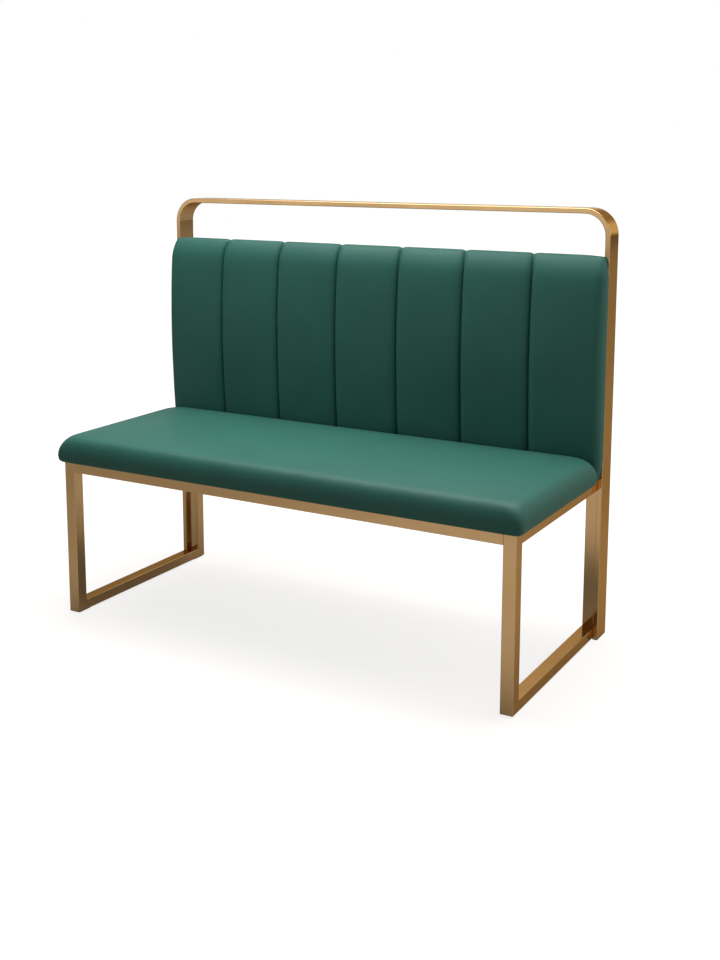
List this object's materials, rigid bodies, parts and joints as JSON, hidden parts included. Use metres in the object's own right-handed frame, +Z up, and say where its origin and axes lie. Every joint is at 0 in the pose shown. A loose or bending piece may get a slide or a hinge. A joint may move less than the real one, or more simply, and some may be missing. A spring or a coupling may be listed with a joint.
{
  "type": "restaurant booth bench",
  "caption": "Upholstered booth bench: a flat seat pad on a gilt steel tube base, with a channelled back pad held by a rounded hoop of flat tube.",
  "frame": {"origin": "on the floor, at the middle of the bench's box seen from above", "axes": "X along the bench, to the right of someone who stands in front of it, +Y to its back, +Z up"},
  "size_m": [1.232, 0.559, 1.018],
  "materials": {
    "gilt_steel": "polished",
    "green_leather": "satin",
    "seat_foam": "matte",
    "plywood": "matte",
    "black_cloth": "matte",
    "black_nylon": "satin",
    "zinc_steel": "satin"
  },
  "bodies": {
    "root": {"back_board": "plywood", "back_cover": "green_leather", "back_foam": "seat_foam", "back_hoop": "gilt_steel", "back_lining": "green_leather", "back_screws": "zinc_steel", "floor_glides": "black_nylon", "frame_welds": "gilt_steel", "front_rail": "gilt_steel", "left_front_leg": "gilt_steel", "left_hoop_plug": "black_nylon", "left_rear_leg": "gilt_steel", "left_runner": "gilt_steel", "left_seat_bearer": "gilt_steel", "left_side_rail": "gilt_steel", "lower_crossbar": "gilt_steel", "rear_rail": "gilt_steel", "right_front_leg": "gilt_steel", "right_hoop_plug": "black_nylon", "right_rear_leg": "gilt_steel", "right_runner": "gilt_steel", "right_seat_bearer": "gilt_steel", "right_side_rail": "gilt_steel", "seat_board": "plywood", "seat_cover": "green_leather", "seat_dust_cover": "black_cloth", "seat_foam": "seat_foam", "seat_screws": "zinc_steel", "seat_tabs": "gilt_steel", "upper_crossbar": "gilt_steel"}
  },
  "joints": []
}
